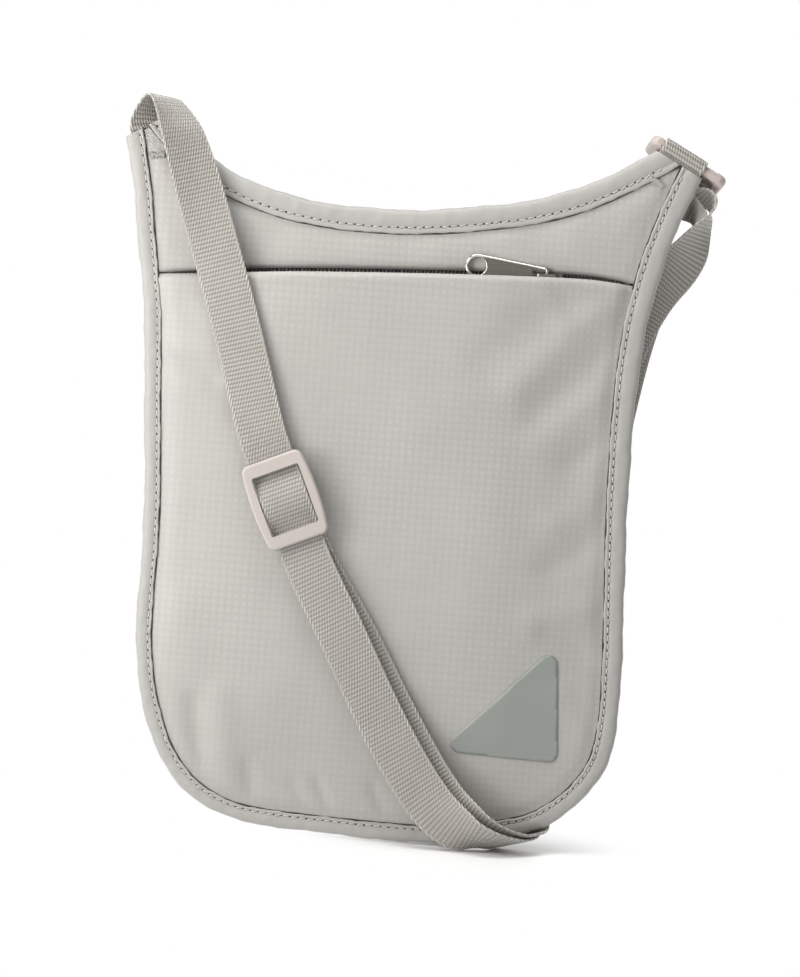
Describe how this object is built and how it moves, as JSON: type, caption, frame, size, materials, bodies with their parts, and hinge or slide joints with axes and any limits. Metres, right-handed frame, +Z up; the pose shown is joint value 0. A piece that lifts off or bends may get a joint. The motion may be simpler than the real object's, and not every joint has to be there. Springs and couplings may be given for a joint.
{
  "type": "neck pouch wallet",
  "caption": "Flat fabric pouch with a curved neckline and a zipped front, hung from the neck on a looped, length-adjustable webbing strap.",
  "frame": {"origin": "on the floor below the middle of the pouch, strap left out", "axes": "+Z up along the pouch, -Y out of its zipped front, +X towards the corner with the ring"},
  "size_m": [0.1973, 0.0492, 0.2389],
  "materials": {
    "pouch_fabric": "woven ripstop, matt",
    "lining_fabric": "plain weave, matt",
    "binding_tape": "folded grosgrain tape",
    "patch": "smooth, satin",
    "zipper_tape": "knitted tape",
    "zipper_coil": "nylon coil",
    "zipper_metal": "nickel plated, satin",
    "webbing": "ribbed flat webbing",
    "ring_plastic": "moulded, matt",
    "adjuster_plastic": "moulded, matt"
  },
  "bodies": {
    "pouch": {"front_panel_lower": "pouch_fabric", "front_panel_upper": "pouch_fabric", "back_panel": "pouch_fabric", "front_lining": "lining_fabric", "back_lining": "lining_fabric", "side_binding": "binding_tape", "neckline_binding": "binding_tape", "triangular_patch": "patch", "zipper_tape_upper": "zipper_tape", "zipper_tape_lower": "zipper_tape", "zipper_coil_upper": "zipper_coil", "zipper_coil_lower": "zipper_coil", "zipper_bottom_stop": "zipper_metal", "zipper_top_stops": "zipper_metal", "ring_keeper": "webbing", "strap_upper": "webbing", "strap_front": "webbing", "strap_back": "webbing", "return_back": "webbing", "return_front": "webbing"},
    "slider": {"zipper_slider": "zipper_metal"},
    "puller": {"zipper_puller": "zipper_metal"},
    "adjuster": {"strap_adjuster": "adjuster_plastic", "strap_over_bar": "webbing", "strap_sewn_end": "webbing"},
    "ring": {"corner_ring": "ring_plastic", "strap_round_ring": "webbing"}
  },
  "joints": [
    {"name": "zip_slide", "type": "slide", "parent": "pouch", "child": "slider", "axis": [0.9983, 0, 0.0576], "range_m": [-0.115, 0.02]},
    {"name": "puller_flip", "type": "hinge", "parent": "slider", "child": "puller", "pos_m": [0.0455, -0.00263, 0.18792], "axis": [0.0819, 0, 0.9966], "range_deg": [0, 170]},
    {"name": "adjuster_slide", "type": "slide", "parent": "pouch", "child": "adjuster", "axis": [0.4067, 0, -0.9136], "range_m": [-0.04, 0.06], "deforming": ["strap_upper", "strap_front", "return_front"]},
    {"name": "ring_swing", "type": "hinge", "parent": "pouch", "child": "ring", "pos_m": [0.08887, 0.00118, 0.22893], "axis": [0.8839, 0, -0.4676], "range_deg": [0, 130], "deforming": ["strap_back", "return_back"]}
  ]
}
